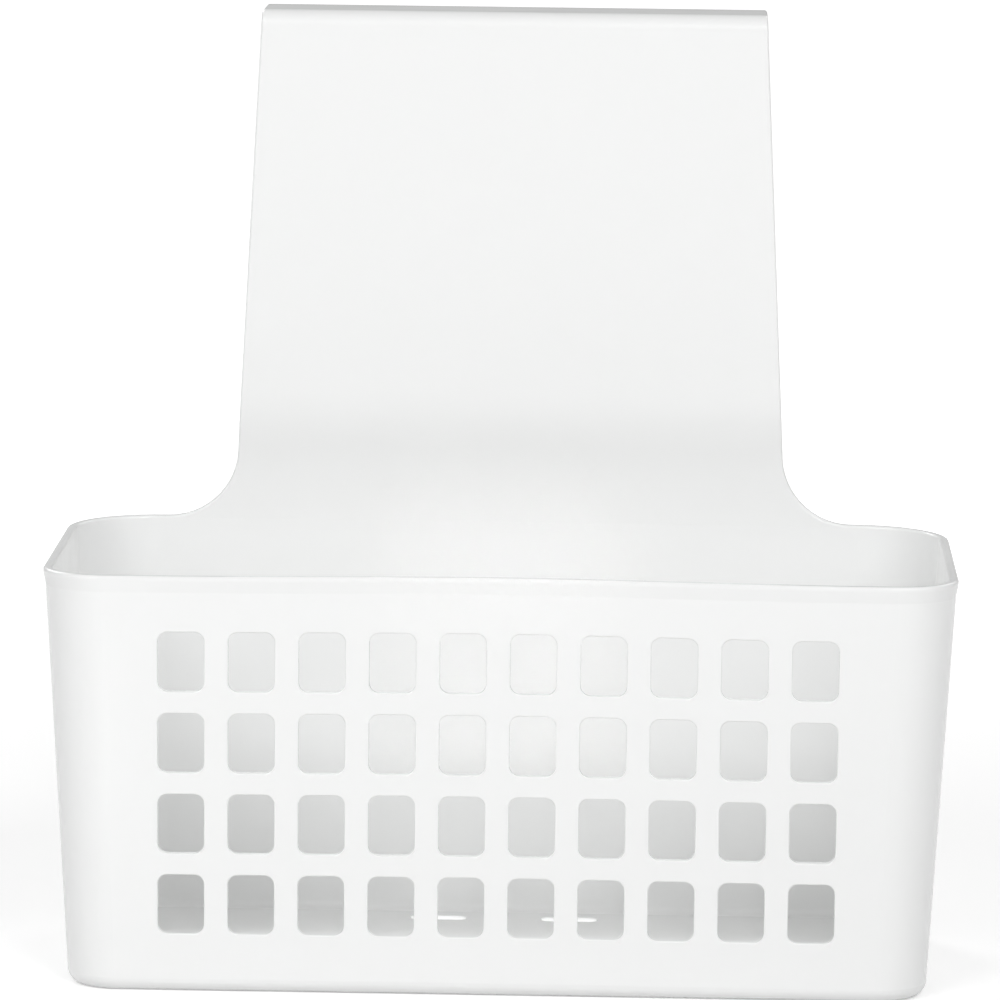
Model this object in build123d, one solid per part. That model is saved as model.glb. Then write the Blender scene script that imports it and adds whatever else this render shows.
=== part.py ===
from build123d import *
import math
import os

# Kitchen sink caddy: a one-piece moulded basket whose back wall runs up into a broad tongue
# and a hook, with soft pads lining the hook and two bumpers low on the back.
# Millimetres, Z up, the front faces -Y. The origin is at the middle of the base of the
# whole part's box, on the surface that the caddy stands on.

# Basket
rim_width = 250.0
rim_depth = 112.0
basket_height = 116.5
wall = 2.2
floor_thickness = 3.0
front_corner_radius = 16.5
back_corner_radius = 25.0
front_base_corner_radius = 14.0
back_base_corner_radius = 21.0
side_draft_degrees = 3.1
front_draft_degrees = 3.1
back_draft_degrees = 2.0
front_bow = 5.5
bow_end_distance = 22.0
base_edge_radius = 4.0
floor_corner_radius = 2.5

# Rim bead
bead_reach = 0.4
bead_height = 1.4
bead_blend = 3.2

# Window grid in the front wall
window_columns = 10
window_rows = 4
window_width = 12.6
window_height = 16.6
window_corner_radius = 2.7
window_pitch_across = 19.15
window_pitch_up = 22.6
lowest_window_centre = 24.9
hole_edge_radius = 0.4

# Drain holes in the floor
drain_columns = 2
drain_rows = 2
drain_width = 16.0
drain_depth = 5.5
drain_corner_radius = 2.4
drain_pitch_across = 37.6
drain_wall_distance = 7.2

# Tongue and hook
total_height = 262.3
tongue_top_width = 143.4
tongue_side_taper_degrees = 2.87
tongue_foot_radius = 20.0
plate_thickness = 2.6
soft_edge_radius = 0.8
tongue_step = 3.0
step_start_above_rim = 8.0
step_height = 28.0
bend_radius = 4.6
door_thickness = 19.0
door_clearance = 0.5
flap_length = 38.0
flap_corner_radius = 9.0

# Soft pads that line the hook
pad_width = 118.0
pad_thickness = 1.5
pad_corner_radius = 3.0
pad_edge_radius = 0.5
pad_clearance = 1.0
flap_pad_height = 20.0

# Bumpers low on the back, which fill the gap that the draft leaves behind the wall
bumper_diameter = 14.0
bumper_edge_radius = 1.2
bumper_side_distance = 40.0
bumper_height = 20.0

# One overrun serves every cut
overrun = 10.0

# Derived places
front_slope = basket_height * math.tan(math.radians(front_draft_degrees))
back_slope = basket_height * math.tan(math.radians(back_draft_degrees))
door_gap = tongue_step + door_thickness + door_clearance + pad_thickness
plate_forward = bead_reach + wall + tongue_step
hook_behind = 2 * plate_thickness + door_gap - plate_forward
back_y = (rim_depth - hook_behind) / 2
foot_face_y = back_y - bead_reach - wall
tongue_face_y = foot_face_y - tongue_step
tongue_back_y = tongue_face_y + plate_thickness
flap_face_y = tongue_back_y + door_gap
flap_back_y = flap_face_y + plate_thickness
hook_underside_z = total_height - plate_thickness
flap_end_z = total_height - flap_length
plate_foot_z = basket_height - (soft_edge_radius + bead_height) / 2
inner_bend_radius = bend_radius - plate_thickness


def sloped(drop, degrees):
    """How far a drafted face moves over a drop."""
    return drop * math.tan(math.radians(degrees))


def between(low, high, share):
    """A value at a share of the way from low to high."""
    return low + (high - low) * share


def plan_face(height, margin=0.0):
    """Horizontal outline of the basket at a height, moved outwards by a margin."""
    drop = basket_height - height
    rise = height / basket_height
    half = rim_width / 2 - bead_reach - sloped(drop, side_draft_degrees) + margin
    front = back_y - rim_depth + bead_reach + sloped(drop, front_draft_degrees) - margin
    rear = back_y - bead_reach - sloped(drop, back_draft_degrees) + margin
    front_radius = between(front_base_corner_radius, front_corner_radius, rise) + margin
    back_radius = between(back_base_corner_radius, back_corner_radius, rise) + margin
    run = half - margin - bow_end_distance
    around = FilletPolyline(
        (run, front),
        (half, front),
        (half, rear),
        (-half, rear),
        (-half, front),
        (-run, front),
        radius=[front_radius, back_radius, back_radius, front_radius],
    )
    bowed_front = Spline(
        (-run, front),
        (0, front + front_bow * rise),
        (run, front),
        tangents=[(1, 0), (1, 0)],
    )
    return Pos(0, 0, height) * make_face(around.edges() + bowed_front.edges())


def outer_shell():
    """The basket's outside as a closed drafted solid with a rounded base edge."""
    shell = loft([plan_face(0), plan_face(basket_height)], ruled=True)
    base_edges = shell.faces().sort_by(Axis.Z)[0].edges()
    return fillet(base_edges, base_edge_radius)


def inner_space():
    """The basket's inside, run past the rim."""
    top = basket_height + bead_height
    space = loft([plan_face(floor_thickness, -wall), plan_face(top, -wall)], ruled=True)
    floor_edges = space.faces().sort_by(Axis.Z)[0].edges()
    return fillet(floor_edges, floor_corner_radius)


def rim_bead():
    """A small outward thickening round the rim."""
    bead_foot = basket_height - bead_height
    return loft(
        [
            plan_face(bead_foot - bead_blend),
            plan_face(bead_foot, bead_reach),
            plan_face(basket_height, bead_reach),
        ],
        ruled=True,
    )


def windows():
    """Rounded windows in columns and rows, as prisms that pass through the front wall."""
    outline = RectangleRounded(window_width, window_height, window_corner_radius)
    depth = front_slope + front_bow + wall + 2 * overrun
    prism = extrude(Plane.XZ * outline, depth)
    first_x = -(window_columns - 1) * window_pitch_across / 2
    start_y = back_y - rim_depth + depth - overrun
    cuts = []
    for row in range(window_rows):
        for column in range(window_columns):
            x = first_x + column * window_pitch_across
            z = lowest_window_centre + row * window_pitch_up
            cuts.append(Pos(x, start_y, z) * prism)
    return cuts


def drains():
    """Rounded drain holes through the floor, a row near each long wall."""
    outline = RectangleRounded(drain_width, drain_depth, drain_corner_radius)
    prism = extrude(outline, floor_thickness + 2 * overrun)
    drop = basket_height - floor_thickness
    rear = back_y - bead_reach - wall - sloped(drop, back_draft_degrees)
    front = back_y - rim_depth + bead_reach + wall + sloped(drop, front_draft_degrees)
    inset = drain_wall_distance + drain_depth / 2
    row_pitch = (rear - front - 2 * inset) / (drain_rows - 1)
    first_x = -(drain_columns - 1) * drain_pitch_across / 2
    cuts = []
    for row in range(drain_rows):
        for column in range(drain_columns):
            x = first_x + column * drain_pitch_across
            y = front + inset + row * row_pitch
            cuts.append(Pos(x, y, -overrun) * prism)
    return cuts


def plate_section():
    """Side view of the hook plate: foot, step, tongue, bend, top, bend and flap."""
    half_turn = 2 * math.atan(tongue_step / step_height)
    step_foot_z = basket_height + step_start_above_rim
    step_top_z = step_foot_z + step_height
    step_middle = (foot_face_y - tongue_step / 2, step_foot_z + step_height / 2)
    leaning = (-math.sin(half_turn), math.cos(half_turn))
    foot = Line((foot_face_y, plate_foot_z), (foot_face_y, step_foot_z))
    lower_arc = TangentArc((foot_face_y, step_foot_z), step_middle, tangent=(0, 1))
    upper_arc = TangentArc(step_middle, (tongue_face_y, step_top_z), tangent=leaning)
    hook = FilletPolyline(
        (tongue_face_y, step_top_z),
        (tongue_face_y, total_height),
        (flap_back_y, total_height),
        (flap_back_y, flap_end_z),
        radius=bend_radius,
    )
    front_line = Wire(foot.edges() + lower_arc.edges() + upper_arc.edges() + hook.edges())
    return make_face(front_line.offset_2d(plate_thickness, side=Side.RIGHT).edges())


def plate_outline():
    """Front view of the plate: tapered sides that flare into the rim."""
    rim_half = tongue_top_width / 2 + sloped(total_height - basket_height, tongue_side_taper_degrees)
    top_z = total_height + overrun
    top_half = tongue_top_width / 2 - sloped(overrun, tongue_side_taper_degrees)
    shoulder = rim_half + tongue_foot_radius
    outline = Polyline(
        (-shoulder, plate_foot_z),
        (-shoulder, basket_height),
        (-rim_half, basket_height),
        (-top_half, top_z),
        (top_half, top_z),
        (rim_half, basket_height),
        (shoulder, basket_height),
        (shoulder, plate_foot_z),
        close=True,
    )
    face = make_face(outline.edges())
    inner_corners = face.vertices().group_by(Axis.Y)[1].sort_by(Axis.X)[1:3]
    return fillet(inner_corners, tongue_foot_radius)


def hook_plate():
    """The tongue and hook as one bent plate, with the flap's lower corners rounded."""
    side_view = Plane.YZ * plate_section()
    bent = Pos(-rim_width / 2, 0, 0) * extrude(side_view, rim_width)
    front_view = Plane.XZ * plate_outline()
    prism = Pos(0, flap_back_y + overrun, 0) * extrude(front_view, rim_depth)
    plate = bent & prism
    behind = plate.faces().filter_by(lambda face: face.center().Y > flap_face_y)
    flap_end = behind.filter_by(Axis.Z).sort_by(Axis.Z)[0]
    return fillet(flap_end.edges().filter_by(Axis.Y), flap_corner_radius)


def softened_plate():
    """The hook plate with its long edges and the flap's end rounded, and its smooth seams left."""
    plate = hook_plate()
    edge_faces = [face for face in plate.faces() if is_plate_edge(face)]
    edges = [edge for face in edge_faces for edge in face.edges()]
    border = [edge for edge in edges if sum(edge.is_same(other) for other in edges) == 1]
    above_rim = [edge for edge in border if edge.center().Z > basket_height + soft_edge_radius]
    return fillet(above_rim, soft_edge_radius)


def is_plate_edge(face):
    """Whether a face is one of the narrow ones round the plate's sides and the flap's end."""
    normal = face.normal_at()
    centre = face.center()
    looks_sideways = abs(normal.X) > math.sin(math.radians(tongue_side_taper_degrees))
    looks_down = abs(normal.Y) < abs(normal.Z)
    low_on_flap = centre.Z < flap_end_z + flap_corner_radius and centre.Y > flap_face_y
    return looks_sideways or (low_on_flap and looks_down)


def softened_basket():
    """The open basket with its rim rounded inside and out."""
    basket = outer_shell() + rim_bead() - inner_space()
    rim_top = basket.faces().sort_by(Axis.Z)[-1]
    return fillet(rim_top.edges(), soft_edge_radius)


def pierced_basket():
    """The basket with its windows and drains, whose edges are rounded in front and on the floor."""
    basket = softened_basket() - windows() - drains()
    window_face = pierced_face(basket, Vector(0, -1, 0))
    drain_face = pierced_face(basket, Vector(0, 0, 1))
    holes = window_face.inner_wires() + drain_face.inner_wires()
    return fillet([edge for hole in holes for edge in hole.edges()], hole_edge_radius)


def pierced_face(solid, direction):
    """The face with several holes in it that looks most in a direction."""
    pierced = [face for face in solid.faces() if len(face.inner_wires()) > 1]
    return max(pierced, key=lambda face: face.normal_at().dot(direction))


def caddy_body():
    """Basket, rim, tongue and hook as the single moulding that they are."""
    return pierced_basket() + softened_plate()


def soft_pad(outline, facing):
    """A thin pad raised from its outline, with its free edges rounded."""
    pad = extrude(outline, pad_thickness)
    return fillet(pad.faces().sort_by(facing)[-1].edges(), pad_edge_radius)


def hook_top_pad():
    """The pad under the hook's top, which sits on the door's edge."""
    depth = door_gap - 2 * inner_bend_radius - 2 * pad_clearance
    outline = Rot(180, 0, 0) * RectangleRounded(pad_width, depth, pad_corner_radius)
    pad = soft_pad(outline, -Axis.Z)
    return Pos(0, (tongue_back_y + flap_face_y) / 2, hook_underside_z) * pad


def hook_flap_pad():
    """The pad on the flap's inner face, which bears on the back of the door."""
    outline = Plane.XZ * RectangleRounded(pad_width, flap_pad_height, pad_corner_radius)
    pad = soft_pad(outline, -Axis.Y)
    middle_z = hook_underside_z - inner_bend_radius - pad_clearance - flap_pad_height / 2
    return Pos(0, flap_face_y, middle_z) * pad


def back_bumper(side):
    """A round bumper cut to the back wall's slope, with its bearing face upright."""
    post = extrude(Plane.XZ * Circle(bumper_diameter / 2), bead_reach + back_slope + wall)
    post = fillet(post.edges().sort_by(Axis.Y)[-1], bumper_edge_radius)
    x = side * (rim_width / 2 - bumper_side_distance)
    return Pos(x, back_y, bumper_height) * post - outer_shell()


os.makedirs("parts", exist_ok=True)
parts = {
    "caddy_body": caddy_body(),
    "hook_top_pad": hook_top_pad(),
    "hook_flap_pad": hook_flap_pad(),
    "left_back_bumper": back_bumper(-1),
    "right_back_bumper": back_bumper(1),
}
for name, part in parts.items():
    part.label = name
    export_step(part, f"parts/{name}.step")
    box = part.bounding_box()
    print(name, part.is_valid, round(part.volume), box.min, box.max)
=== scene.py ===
# %% [markdown]
# A kitchen sink caddy is one moulding of white polypropylene: a basket with a windowed front,
# whose back wall runs up into a broad tongue and turns over into a hook. Soft foam lines the
# hook and two rubber bumpers sit low on the back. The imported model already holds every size, so
# this lesson dresses it: it loads the model as a fixed frame, makes the finishes as node
# materials, models the soft pieces anew, and lights the whole as a product photograph.

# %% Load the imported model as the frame
import math

import bmesh
import bpy
from mathutils import Matrix, Vector, noise


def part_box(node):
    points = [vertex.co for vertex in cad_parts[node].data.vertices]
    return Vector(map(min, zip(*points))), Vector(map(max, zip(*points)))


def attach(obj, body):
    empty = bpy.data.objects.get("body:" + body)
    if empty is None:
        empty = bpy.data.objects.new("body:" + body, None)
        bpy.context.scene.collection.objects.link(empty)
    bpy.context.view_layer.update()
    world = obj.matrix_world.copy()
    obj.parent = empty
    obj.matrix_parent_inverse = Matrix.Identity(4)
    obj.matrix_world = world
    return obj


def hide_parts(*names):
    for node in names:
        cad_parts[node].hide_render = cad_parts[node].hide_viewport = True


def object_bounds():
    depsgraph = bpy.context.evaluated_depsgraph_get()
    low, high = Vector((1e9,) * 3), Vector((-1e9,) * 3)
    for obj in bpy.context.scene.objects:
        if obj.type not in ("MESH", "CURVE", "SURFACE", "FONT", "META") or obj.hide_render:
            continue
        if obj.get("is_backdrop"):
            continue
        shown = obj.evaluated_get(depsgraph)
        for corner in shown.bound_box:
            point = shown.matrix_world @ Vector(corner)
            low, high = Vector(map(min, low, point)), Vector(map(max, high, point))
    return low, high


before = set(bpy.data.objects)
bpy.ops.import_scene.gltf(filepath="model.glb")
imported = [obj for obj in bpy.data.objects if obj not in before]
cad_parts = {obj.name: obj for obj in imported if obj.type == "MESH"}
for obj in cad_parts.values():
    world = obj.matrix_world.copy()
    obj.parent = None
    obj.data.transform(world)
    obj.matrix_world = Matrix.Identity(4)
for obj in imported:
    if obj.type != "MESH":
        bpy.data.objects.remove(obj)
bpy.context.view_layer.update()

print("frame nodes:", sorted(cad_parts))

# %% [markdown]
# Every finish below is a small tree of shader nodes. One class holds a new material and adds
# and links its nodes, so that each finish reads as a short recipe. Patterns take Object
# coordinates: the pieces sit at the origin unturned, so a millimetre on the pattern is a
# millimetre on the caddy, and no pattern can slide.

# %% Helpers for material recipes
MM = 0.001
close_enough = MM / 100
same_point = MM / 1000


class Recipe:
    """A new material with its shader, and short calls that add and link nodes."""

    def __init__(self, name):
        self.material = bpy.data.materials.new(name)
        self.material.use_nodes = True
        self.tree = self.material.node_tree
        self.shader = self.tree.nodes["Principled BSDF"]
        self.place = self.add("ShaderNodeTexCoord").outputs["Object"]

    def add(self, kind, **settings):
        """A node of a kind, with its own settings."""
        node = self.tree.nodes.new(kind)
        for key, value in settings.items():
            setattr(node, key, value)
        return node

    def link(self, source, target):
        self.tree.links.new(source, target)

    def set(self, **numbers):
        """The shader's own sockets, by name with the blanks as underscores."""
        for key, value in numbers.items():
            self.shader.inputs[key.replace("_", " ")].default_value = value

    def noise(self, lump, detail=2.0):
        """Smooth noise from 0 to 1, whose lumps have this size in metres."""
        node = self.add("ShaderNodeTexNoise")
        node.inputs["Scale"].default_value = 1 / lump
        node.inputs["Detail"].default_value = detail
        self.link(self.place, node.inputs["Vector"])
        return node.outputs["Fac"]

    def cells(self, size):
        """Distance to the nearest cell middle, for cells of this size in metres."""
        node = self.add("ShaderNodeTexVoronoi")
        node.inputs["Scale"].default_value = 1 / size
        self.link(self.place, node.inputs["Vector"])
        return node.outputs["Distance"]

    def reach(self, middle=(0, 0, 0), stretch=(1, 1, 1)):
        """Distance from a middle, with each direction stretched by a factor."""
        offset = self.add("ShaderNodeVectorMath", operation="SUBTRACT")
        offset.inputs[1].default_value = middle
        self.link(self.place, offset.inputs[0])
        scaled = self.add("ShaderNodeVectorMath", operation="MULTIPLY")
        scaled.inputs[1].default_value = stretch
        self.link(offset.outputs["Vector"], scaled.inputs[0])
        length = self.add("ShaderNodeVectorMath", operation="LENGTH")
        self.link(scaled.outputs["Vector"], length.inputs[0])
        return length.outputs["Value"]

    def spread(self, value, low_in, high_in, low_out, high_out):
        """A value taken from one span to another, and kept within it."""
        node = self.add("ShaderNodeMapRange")
        spans = {"From Min": low_in, "From Max": high_in, "To Min": low_out, "To Max": high_out}
        for name, number in spans.items():
            node.inputs[name].default_value = number
        self.link(value, node.inputs["Value"])
        return node.outputs["Result"]

    def combined(self, operation, first, second):
        """One value worked out from two."""
        node = self.add("ShaderNodeMath", operation=operation)
        self.link(first, node.inputs[0])
        self.link(second, node.inputs[1])
        return node.outputs["Value"]

    def blend(self, share, first, second):
        """A colour between two, by a share from 0 to 1."""
        node = self.add("ShaderNodeMix", data_type="RGBA")
        node.inputs["A"].default_value = (*first, 1)
        node.inputs["B"].default_value = (*second, 1)
        self.link(share, node.inputs["Factor"])
        return node.outputs["Result"]

    def bump(self, height, depth, under=None):
        """A bump of a real depth in metres, over another bump if one is given."""
        node = self.add("ShaderNodeBump")
        node.inputs["Strength"].default_value = 1.0
        node.inputs["Distance"].default_value = depth
        self.link(height, node.inputs["Height"])
        if under is not None:
            self.link(under, node.inputs["Normal"])
        return node.outputs["Normal"]

    def wear(self, colour, gloss, relief):
        """Links the three things that vary over a surface, and hands over the material."""
        self.link(colour, self.shader.inputs["Base Color"])
        self.link(gloss, self.shader.inputs["Roughness"])
        self.link(relief, self.shader.inputs["Normal"])
        return self.material


# %% [markdown]
# The body is polypropylene from a polished mould: near white, with a soft gloss. A flat white
# would look like card, so the tint and the gloss wander a little, and the walls carry the slow
# unevenness of a moulding that shrank as it cooled. The bump is written as a real depth, a few
# hundredths of a millimetre, because a deeper one would break up the long soft highlights.

# %% Moulded plastic
def moulded_plastic():
    recipe = Recipe("moulded_plastic")
    cloudy = recipe.noise(90 * MM, detail=1)
    tint = recipe.blend(cloudy, (0.924, 0.929, 0.925), (0.930, 0.934, 0.930))
    gloss = recipe.spread(recipe.noise(22 * MM, detail=4), 0.3, 0.7, 0.22, 0.265)
    slow = recipe.bump(recipe.noise(45 * MM, detail=1), depth=0.05 * MM)
    relief = recipe.bump(recipe.noise(0.8 * MM, detail=1), depth=0.001 * MM, under=slow)
    recipe.set(IOR=1.49)
    return recipe.wear(tint, gloss, relief)


def finish(node, material):
    """Gives a carried-over CAD node its material."""
    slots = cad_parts[node].data.materials
    slots.clear()
    slots.append(material)


finish("caddy_body", moulded_plastic())
print("body faces:", len(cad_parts["caddy_body"].data.polygons))

# %% [markdown]
# The hook is lined with two strips of closed-cell foam, so that it neither rattles nor marks
# the door. Foam that a die has cut isn't a sharp box: its free face swells a little, its edges
# roll over, and cells show all over it. Each strip starts as a cube with bevelled corners and
# rims. A voxel remesh then gives it an even skin of small faces, which noise can push in and
# out like real cells, where a bump alone would leave the outline straight.

# %% Foam finish
def pad_foam():
    recipe = Recipe("pad_foam")
    speckle = recipe.blend(recipe.noise(0.9 * MM, detail=3), (0.70, 0.70, 0.68), (0.84, 0.84, 0.82))
    rough = recipe.spread(recipe.noise(4 * MM), 0.3, 0.7, 0.78, 0.92)
    cells = recipe.spread(recipe.cells(0.55 * MM), 0.0, 0.6, 0.0, 1.0)
    relief = recipe.bump(cells, depth=0.06 * MM)
    recipe.set(IOR=1.45, Sheen_Weight=0.15, Sheen_Roughness=0.6)
    return recipe.wear(speckle, rough, relief)


# %% [markdown]
# The pads and the bumpers share three steps. A finished bmesh becomes an object at the origin
# with its place in its mesh, so that patterns on Object coordinates stay put. The bevel names
# all its settings, because the defaults in a script aren't those of the editor. An edge is
# chosen by the axis that it runs along.

# %% Shared steps for new pieces
straight_share = 0.99


def put_in_scene(name, shape, material, smooth=True):
    """Makes a finished bmesh an object at the origin, with one material."""
    mesh = bpy.data.meshes.new(name)
    for face in shape.faces:
        face.smooth = smooth
    shape.to_mesh(mesh)
    shape.free()
    mesh.materials.append(material)
    piece = bpy.data.objects.new(name, mesh)
    bpy.context.scene.collection.objects.link(piece)
    return piece


def bevel(shape, edges, radius, segments):
    """Rounds some edges of a bmesh."""
    bmesh.ops.bevel(
        shape,
        geom=edges,
        offset=radius,
        affect="EDGES",
        segments=segments,
        profile=0.5,
        material=-1,
        clamp_overlap=True,
    )


def runs_along(edge, axis):
    """Whether an edge runs along one axis."""
    way = edge.verts[1].co - edge.verts[0].co
    return abs(way[axis]) > straight_share * way.length


# %% Foam pads
pad_corner = 3.0 * MM
pad_rim = 0.5 * MM
foam_voxel = 0.4 * MM
foam_swell = 0.06 * MM
foam_cell = 0.9 * MM
cell_depth = 0.05 * MM


def lies_at(edge, axis, level):
    """Whether an edge lies in the plane across an axis at this level."""
    return all(abs(vertex.co[axis] - level) < close_enough for vertex in edge.verts)


def foam_block(node, depth_axis, free_side):
    """A cube stretched to the node's box, with its corners and its free rim rounded."""
    low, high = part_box(node)
    block = bmesh.new()
    bmesh.ops.create_cube(block, size=1.0)
    bmesh.ops.scale(block, vec=high - low, verts=block.verts)
    bmesh.ops.translate(block, vec=(low + high) / 2, verts=block.verts)
    corners = [edge for edge in block.edges if runs_along(edge, depth_axis)]
    bevel(block, corners, pad_corner, segments=8)
    free = high[depth_axis] if free_side > 0 else low[depth_axis]
    rim = [edge for edge in block.edges if lies_at(edge, depth_axis, free)]
    bevel(block, rim, pad_rim, segments=4)
    return block


def remeshed(piece, voxel):
    """A bmesh of the piece after a voxel remesh, and the piece is gone."""
    skin = piece.modifiers.new("even_skin", "REMESH")
    skin.mode = "VOXEL"
    skin.voxel_size = voxel
    bpy.context.view_layer.update()
    evaluated = piece.evaluated_get(bpy.context.evaluated_depsgraph_get())
    shape = bmesh.new()
    shape.from_mesh(bpy.data.meshes.new_from_object(evaluated))
    bpy.data.objects.remove(piece)
    return shape


def swell(pad, node, depth_axis, free_side):
    """Crowns a pad and pits it with cells, less and less towards its glued side."""
    low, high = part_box(node)
    middle = (low + high) / 2
    half = (high - low) / 2
    glued = low[depth_axis] if free_side > 0 else high[depth_axis]
    pad.normal_update()
    normals = [v.normal.copy() for v in pad.verts]
    for vertex, normal in zip(pad.verts, normals):
        away = abs(vertex.co[depth_axis] - glued) / (2 * half[depth_axis])
        across = [abs(vertex.co[i] - middle[i]) / half[i] for i in range(3) if i != depth_axis]
        # The crown is one in the middle of the face and nothing at its ends and sides.
        crown = (1 - across[0] ** 4) * (1 - across[1] ** 2)
        cell = abs(noise.noise(vertex.co / foam_cell))
        push = foam_swell * (crown - 1) - cell_depth * cell
        vertex.co += normal * push * min(1.0, 2 * away)


def foam_pad(name, node, depth_axis, free_side, material):
    """A foam strip in the place of a CAD node: its free side is swollen and full of cells."""
    block = put_in_scene("block", foam_block(node, depth_axis, free_side), material)
    skin = remeshed(block, foam_voxel)
    swell(skin, node, depth_axis, free_side)
    pad = put_in_scene(name, skin, material)
    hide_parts(node)
    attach(pad, "root")
    print(name, "faces:", len(pad.data.polygons))


foam = pad_foam()
foam_pad("foam_top_strip", "hook_top_pad", depth_axis=2, free_side=-1, material=foam)
foam_pad("foam_flap_strip", "hook_flap_pad", depth_axis=1, free_side=-1, material=foam)

# %% [markdown]
# Two rubber bumpers low on the back keep the basket upright against the door. A bumper is a
# moulded button, so its shape is a profile turned once round its axis: a flat bearing face with
# a shallow dimple where the mould was filled, and a rolled rim. The wall behind it leans, so
# one plane cuts the button's foot to the wall's slope.

# %% Rubber finish
def bumper_rubber():
    recipe = Recipe("bumper_rubber")
    tint = recipe.blend(recipe.noise(5 * MM, detail=4), (0.80, 0.80, 0.78), (0.87, 0.87, 0.85))
    rough = recipe.spread(recipe.noise(1.5 * MM, detail=3), 0.3, 0.7, 0.48, 0.62)
    relief = recipe.bump(recipe.noise(0.35 * MM, detail=2), depth=0.01 * MM)
    recipe.set(IOR=1.5)
    return recipe.wear(tint, rough, relief)


# %% Bumpers
wall_lean = math.radians(2.0)
bumper_rim = 1.2 * MM
dimple_radius = 1.8 * MM
dimple_depth = 0.3 * MM
turned_steps = 64
sharp_angle = math.radians(40)


def is_ring(edge, middle, radius, y):
    """Whether an edge lies on a ring round the bumper's axis."""
    for vertex in edge.verts:
        out = math.hypot(vertex.co.x - middle.x, vertex.co.z - middle.z)
        if abs(out - radius) > close_enough or abs(vertex.co.y - y) > close_enough:
            return False
    return True


def turned_button(middle, radius, face_y, foot_y):
    """A button turned round its axis, with a dimple in its face and a rolled rim."""
    profile = [
        (0.0, face_y - dimple_depth),
        (dimple_radius - dimple_depth, face_y - dimple_depth),
        (dimple_radius, face_y),
        (radius, face_y),
        (radius, foot_y),
        (0.0, foot_y),
    ]
    button = bmesh.new()
    points = [button.verts.new((middle.x + r, y, middle.z)) for r, y in profile]
    edges = [button.edges.new(pair) for pair in zip(points, points[1:])]
    bmesh.ops.spin(
        button,
        geom=points + edges,
        cent=middle,
        axis=(0, 1, 0),
        angle=2 * math.pi,
        steps=turned_steps,
        use_merge=True,
    )
    bmesh.ops.remove_doubles(button, verts=button.verts, dist=same_point)
    bmesh.ops.recalc_face_normals(button, faces=button.faces)
    rim = [edge for edge in button.edges if is_ring(edge, middle, radius, face_y)]
    bevel(button, rim, bumper_rim, segments=6)
    inner = [edge for edge in button.edges if is_ring(edge, middle, dimple_radius, face_y)]
    bevel(button, inner, dimple_depth / 2, segments=3)
    return button


def bumper(name, node, material):
    """A turned rubber button, cut to the leaning wall behind it."""
    low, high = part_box(node)
    middle = (low + high) / 2
    radius = (high.x - low.x) / 2
    # The turned form runs past the wall, so that the cut meets it all round.
    foot_y = low.y - (high.y - low.y)
    button = turned_button(middle, radius, high.y, foot_y)
    cut = bmesh.ops.bisect_plane(
        button,
        geom=button.verts[:] + button.edges[:] + button.faces[:],
        plane_co=(middle.x, low.y, low.z),
        plane_no=(0, -math.cos(wall_lean), math.sin(wall_lean)),
        clear_outer=True,
    )
    foot = [part for part in cut["geom_cut"] if isinstance(part, bmesh.types.BMEdge)]
    bmesh.ops.contextual_create(button, geom=foot)
    piece = put_in_scene(name, button, material)
    piece.data.set_sharp_from_angle(angle=sharp_angle)
    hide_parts(node)
    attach(piece, "root")
    print(name, "faces:", len(piece.data.polygons))


rubber = bumper_rubber()
bumper("left_rubber_bumper", "left_back_bumper", rubber)
bumper("right_rubber_bumper", "right_back_bumper", rubber)

# %% [markdown]
# The camera stands a little to the right of the middle and looks slightly down. Its place and
# its long lens come from lining up the rim, the windows and the tongue with the photograph.

# %% Camera
camera_place = (0.0466, -1.8045, 0.3999)
camera_yaw_degrees = -1.532
camera_pitch_degrees = -8.545
camera_roll_degrees = 0.623
camera_lens = 234.4
camera_film_width = 36.0
camera_far_end = 50.0

camera = bpy.data.objects.new("camera", bpy.data.cameras.new("camera"))
bpy.context.scene.collection.objects.link(camera)
turn = (
    Matrix.Rotation(math.radians(-camera_yaw_degrees), 4, "Z")
    @ Matrix.Rotation(math.radians(90 + camera_pitch_degrees), 4, "X")
    @ Matrix.Rotation(math.radians(camera_roll_degrees), 4, "Z")
)
camera.matrix_world = Matrix.Translation(camera_place) @ turn
camera.data.lens = camera_lens
camera.data.sensor_width = camera_film_width
camera.data.clip_end = camera_far_end
bpy.context.scene.camera = camera
print("camera:", [round(v, 3) for v in camera.location])

# %% [markdown]
# The ground of the photograph is pure white. More light would wash out the caddy, so the floor
# glows instead, and only for rays from the camera and for mirrored ones: nothing on the caddy
# gets brighter by it. The glow is weak round the caddy, where the floor keeps its shadow, and
# grows with the distance. Only the patch under the base shines like a light table, for all rays:
# the base covers it, so its light comes up through the drain slots alone, whose walls are white
# slivers in the photograph.

# %% Floor and background
floor_half = 6.0

# The glow grows from the near lift to the far one between these distances from the caddy.
shadow_reach = 0.25
white_reach = 1.6
near_lift = 0.4
far_lift = 0.85

# The patch under the base is an ellipse inside the base's outline, with a soft edge.
base_middle = (0, -0.0107, 0)
base_stretch = (0.43, 1, 1)
under_reach = (0.042, 0.046)
under_lift = 1.1


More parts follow.
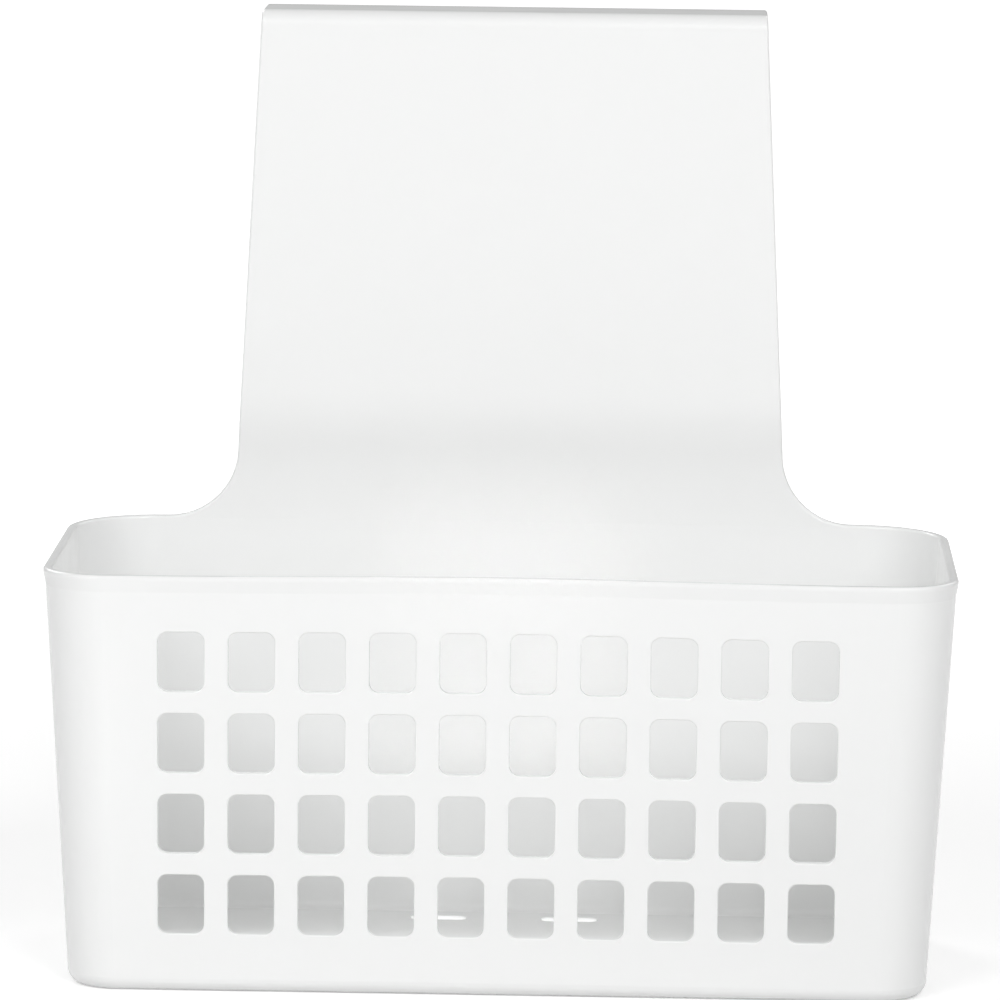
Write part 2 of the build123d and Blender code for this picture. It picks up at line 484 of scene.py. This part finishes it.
def floor_finish():
    """A pale matte floor, which the camera sees as white where no shadow falls."""
    recipe = Recipe("studio_floor")
    grain = recipe.blend(recipe.noise(250 * MM), (0.78, 0.78, 0.78), (0.81, 0.81, 0.81))
    recipe.link(grain, recipe.shader.inputs["Base Color"])
    away = recipe.reach()
    around = recipe.spread(away, shadow_reach, white_reach, near_lift, far_lift)
    inside = recipe.reach(middle=base_middle, stretch=base_stretch)
    under = recipe.spread(inside, *under_reach, under_lift, 0.0)
    rays = recipe.add("ShaderNodeLightPath")
    seen = rays.outputs["Is Camera Ray"]
    for kind in ("Is Glossy Ray", "Is Transmission Ray"):
        seen = recipe.combined("MAXIMUM", seen, rays.outputs[kind])
    glow = recipe.combined("ADD", recipe.combined("MULTIPLY", seen, around), under)
    recipe.set(Roughness=0.9, Emission_Color=(1, 1, 1, 1))
    recipe.link(glow, recipe.shader.inputs["Emission Strength"])
    return recipe.material


sheet = bmesh.new()
bmesh.ops.create_grid(sheet, x_segments=1, y_segments=1, size=floor_half)
floor = put_in_scene("studio_floor", sheet, floor_finish(), smooth=False)
floor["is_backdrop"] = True
print("floor half width in metres:", floor_half)

# %% [markdown]
# The world is plain white and dim. It is the fill light: it keeps the inside of the basket and
# the sides that face no lamp from going dark.

# %% World
world_strength = 0.32

world = bpy.data.worlds.new("studio_world")
bpy.context.scene.world = world
world.use_nodes = True
backdrop = world.node_tree.nodes["Background"].inputs
backdrop["Color"].default_value = (1, 1, 1, 1)
backdrop["Strength"].default_value = world_strength
print("world strength:", world_strength)

# %% [markdown]
# White plastic shows its shape only by small steps of grey, so the lamps are many and soft, and
# the two main boxes stand apart. One straight ahead would put a white line along the hook's
# bend, where the photograph has a grey one. Their height gives the shade that the front wall
# throws on the back wall, which ends at the third row of windows.

# %% Lamps
caddy_middle = Vector((0, 0, 0.12))
box_size = (0.45, 0.45)
small_box_size = (0.3, 0.3)
box_distance = 1.6


def soft_lamp(
    name, azimuth, elevation, watts, size=box_size, distance=box_distance, aim=caddy_middle
):
    """A soft box placed by its direction as seen from the point that it faces."""
    data = bpy.data.lights.new(name, "AREA")
    data.shape = "RECTANGLE"
    data.size, data.size_y = size
    data.energy = watts
    lamp = bpy.data.objects.new(name, data)
    bpy.context.scene.collection.objects.link(lamp)
    turn = math.radians(azimuth)
    lift = math.radians(elevation)
    level = math.cos(lift)
    out = Vector((math.sin(turn) * level, -math.cos(turn) * level, math.sin(lift)))
    lamp.location = aim + distance * out
    lamp.rotation_euler = out.to_track_quat("Z", "Y").to_euler()
    return lamp


soft_lamp("left_box", -26, 36, 4.2)
soft_lamp("right_box", 21, 37, 5.9)
soft_lamp("far_left_box", -50, 36, 2.7)
soft_lamp("far_right_box", 52, 36, 2.1)
soft_lamp("low_left_box", -24, 8, 1.3, size=small_box_size)
soft_lamp("low_right_box", 36, 20, 1.3)
soft_lamp("left_back_box", -150, 30, 4.5)
soft_lamp("right_back_box", 150, 30, 2.2)

# %% [markdown]
# Three small lamps add what the boxes can't. A strip near the floor draws the long highlight on
# the left front corner. A narrow beam over the front rim repeats the paler patch in the middle
# of the back wall, whose cause the photograph doesn't show. Another falls straight into the
# basket, whose floor would be too dark behind the lowest windows.

# %% Accents
left_front_corner = Vector((-0.107, -0.064, 0.034))
back_wall_patch = Vector((0, 0.040, 0.081))
basket_floor = Vector((0, -0.012, 0.003))
strip_distance = 0.14
beam_distance = 0.6
beam_spread = math.radians(4)


def beam(name, elevation, watts, size, aim):
    """A lamp straight in front, whose light hardly fans out."""
    lamp = soft_lamp(name, 0, elevation, watts, size=size, distance=beam_distance, aim=aim)
    lamp.data.spread = beam_spread


soft_lamp(
    "corner_strip",
    -10,
    0,
    0.0075,
    size=(0.02, 0.064),
    distance=strip_distance,
    aim=left_front_corner,
)
beam("back_wall_beam", 36, 0.0013, size=(0.066, 0.069), aim=back_wall_patch)
beam("basket_floor_beam", 80, 0.005, size=(0.19, 0.03), aim=basket_floor)

# %% [markdown]
# Colours are shown as they are written, with no film curve over them. The box round all the
# shown pieces, with the floor left out, is printed in millimetres. The pieces that were
# modelled anew must stay inside the box of the CAD.

# %% Colour and sizes
bpy.context.scene.view_settings.view_transform = "Standard"
seen_low, seen_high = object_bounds()
for name, corner in (("low", seen_low), ("high", seen_high)):
    print("visual box,", name, "corner in mm:", [round(1000 * v, 2) for v in corner])
